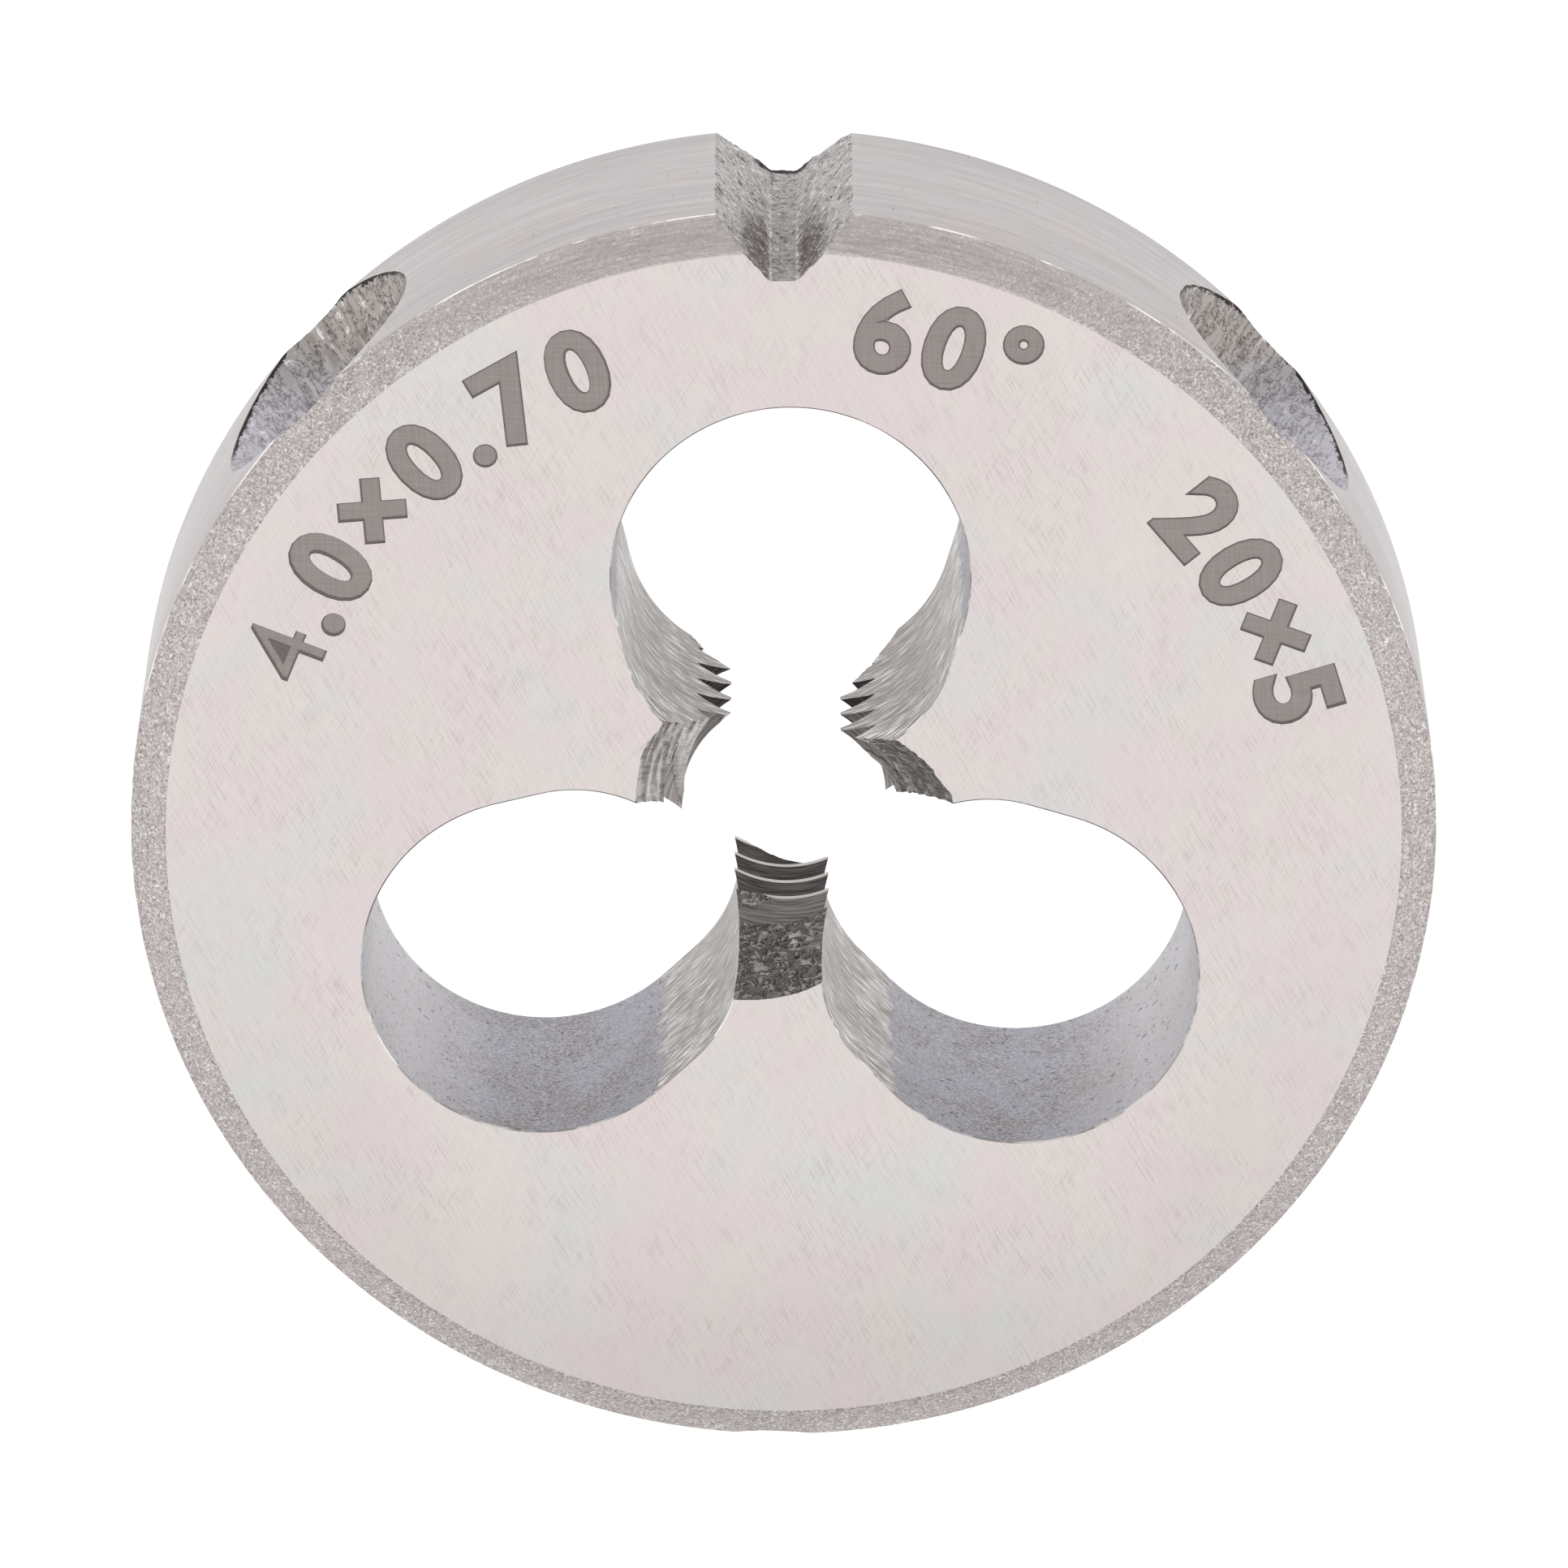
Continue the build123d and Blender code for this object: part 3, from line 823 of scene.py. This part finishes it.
def number_shape(character, size, thicken):
    """Flat outline of one character, filled, as points and faces."""
    curve = bpy.data.curves.new("number", "FONT")
    curve.body = character
    curve.size = size
    curve.offset = thicken
    curve.resolution_u = 5
    drawn = bpy.data.objects.new("number", curve)
    bpy.context.scene.collection.objects.link(drawn)
    mesh = bpy.data.meshes.new_from_object(drawn.evaluated_get(bpy.context.evaluated_depsgraph_get()))
    bpy.data.objects.remove(drawn)
    return [v.co.xy for v in mesh.vertices], [tuple(face.vertices) for face in mesh.polygons]


def mark_tool(text, angle, radius, grow, depth, zone):
    """Shallow straight-sided cutter of a number set along an arc, read clockwise."""
    shapes = []
    for character in text:
        thicken = MARK_THICKEN_FOUR if character == "4" else MARK_THICKEN
        shapes.append(number_shape(character, MARK_SIZE, thicken + grow))
    spans = [(min(x for x, _ in flat), max(x for x, _ in flat)) for flat, _ in shapes]
    gap = MARK_SPACE - 2 * (MARK_THICKEN + grow)
    start = -(sum(high - low for low, high in spans) + gap * (len(spans) - 1)) / 2
    points = []
    faces = []
    for (flat, cells), (low, high) in zip(shapes, spans):
        a = math.radians(angle) - (start + (high - low) / 2) / radius
        start += high - low + gap
        first = len(points)
        count = len(flat)
        for z in (THICK - depth, THICK + 0.1):
            for x, y in flat:
                right = x - (low + high) / 2
                up = y - MARK_SIZE * MARK_CENTRE + radius
                points.append((
                    up * math.cos(a) + right * math.sin(a),
                    up * math.sin(a) - right * math.cos(a),
                    z,
                ))
        sides = {(c[n], c[(n + 1) % len(c)]) for c in cells for n in range(len(c))}
        faces += [tuple(first + n for n in c[::-1]) for c in cells]
        faces += [tuple(first + count + n for n in c) for c in cells]
        faces += [
            (first + a0, first + b0, first + count + b0, first + count + a0)
            for a0, b0 in sorted(sides) if (b0, a0) not in sides
        ]
    mesh = bpy.data.meshes.new("mark_tool")
    mesh.from_pydata(points, [], faces)
    for material in materials:
        mesh.materials.append(material)
    mesh.polygons.foreach_set("material_index", [ZONE[zone]] * len(faces))
    work = mesh.uv_layers.new(name="work")
    work.data.foreach_set("uv", [x for face in faces for n in face for x in points[n][:2]])
    made = bpy.data.objects.new("mark_tool", mesh)
    bpy.context.scene.collection.objects.link(made)
    return made


# ---------------------------------------------------------------- the die, cut tool by tool
die = blank()
for text, angle, radius in NUMBERS:
    cut(die, mark_tool(text, angle, radius, MARK_OUTLINE, MARK_EDGE_DEPTH, "mark_edge"), True)
    cut(die, mark_tool(text, angle, radius, 0.0, MARK_DEPTH, "mark"), True)
for k in range(FLUTES):
    cut(die, chip_hole_tool(k))
cut(die, bore_tool())
for k in range(FLUTES):
    for front in (True, False):
        cut(die, lead_in_tool(k, front))
cut(die, thread_tool())
cut(die, groove_tool())
for angle in DIMPLE_ANGLES:
    cut(die, dimple_tool(angle))
mesh = die.data
mesh.transform(Matrix.Scale(MM, 4))
mesh.polygons.foreach_set("use_smooth", [True] * len(mesh.polygons))
mesh.set_sharp_from_angle(angle=math.radians(SHARP_ANGLE))
mesh.update()
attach(die, "root")
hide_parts("round_die")

# ---------------------------------------------------------------- floor, light, camera
# The floor is a white light table, which lights the walls of the holes from below.
floor_mesh = bpy.data.meshes.new("floor")
half = TABLE_HALF * MM
corners = [(-half, -half, 0), (half, -half, 0), (half, half, 0), (-half, half, 0)]
floor_mesh.from_pydata(corners, [], [(0, 1, 2, 3)])
floor = bpy.data.objects.new("floor", floor_mesh)
bpy.context.scene.collection.objects.link(floor)
floor.location.z = -TABLE_DROP * MM
light_table = bpy.data.materials.new("white_light_table")
light_table.use_nodes = True
table_tree = light_table.node_tree
table_tree.nodes.clear()
add(table_tree, "ShaderNodeOutputMaterial", {
    "Surface": add(table_tree, "ShaderNodeEmission", {"Color": srgb("ffffff"), "Strength": TABLE_GLOW}),
})
floor_mesh.materials.append(light_table)

# A soft white room: brightest overhead and a little at the sides, darker in front and behind.
world = bpy.data.worlds.new("soft_room")
bpy.context.scene.world = world
world.use_nodes = True
room = world.node_tree
room.nodes.clear()
way = add(room, "ShaderNodeTexCoord", output="Generated")
ceiling = add(room, "ShaderNodeMapRange", {
    "Value": add(room, "ShaderNodeSeparateXYZ", {0: way}, output="Z"),
    "From Min": -0.15, "From Max": 0.80, "To Min": 1.18, "To Max": 1.27,
}, interpolation_type="SMOOTHSTEP")
towards = add(room, "ShaderNodeSeparateXYZ", {0: way}, output="Y")
front_shade = add(room, "ShaderNodeMapRange", {
    "Value": towards, "From Min": -1.0, "From Max": -0.45, "To Min": 0.38, "To Max": 1.0,
}, interpolation_type="SMOOTHSTEP")
back_shade = add(room, "ShaderNodeMapRange", {
    "Value": towards, "From Min": 0.15, "From Max": 0.75, "To Min": 1.0, "To Max": 0.62,
}, interpolation_type="SMOOTHSTEP")
sideways = add(room, "ShaderNodeMath", {
    0: add(room, "ShaderNodeSeparateXYZ", {0: way}, output="X"),
}, operation="ABSOLUTE")
side_glow = add(room, "ShaderNodeMapRange", {
    "Value": sideways, "From Min": 0.60, "From Max": 0.90, "To Min": 1.0, "To Max": 1.12,
}, interpolation_type="SMOOTHSTEP")
shade = add(room, "ShaderNodeMath", {0: front_shade, 1: back_shade}, operation="MULTIPLY")
shade = add(room, "ShaderNodeMath", {0: shade, 1: side_glow}, operation="MULTIPLY")
light = add(room, "ShaderNodeMath", {0: ceiling, 1: shade}, operation="MULTIPLY")
add(room, "ShaderNodeOutputWorld", {
    "Surface": add(room, "ShaderNodeBackground", {"Strength": light}),
})

# A long lens looks at the die from 203 mm away, 20 degrees off its axis.
lens = bpy.data.cameras.new("camera")
lens.sensor_width = 36.0
lens.lens = 297.94
lens.clip_start = 0.01
lens.clip_end = 10.0
camera = bpy.data.objects.new("camera", lens)
bpy.context.scene.collection.objects.link(camera)
camera.matrix_world = Matrix((
    (1.0, 0.0, 0.0, 0.005 * MM),
    (0.0, 0.9378, 0.3473, 69.73 * MM),
    (0.0, -0.3473, 0.9378, 190.60 * MM),
    (0.0, 0.0, 0.0, 1.0),
))
bpy.context.scene.camera = camera
bpy.context.scene.view_settings.view_transform = "Standard"
bpy.context.scene.view_settings.look = "None"
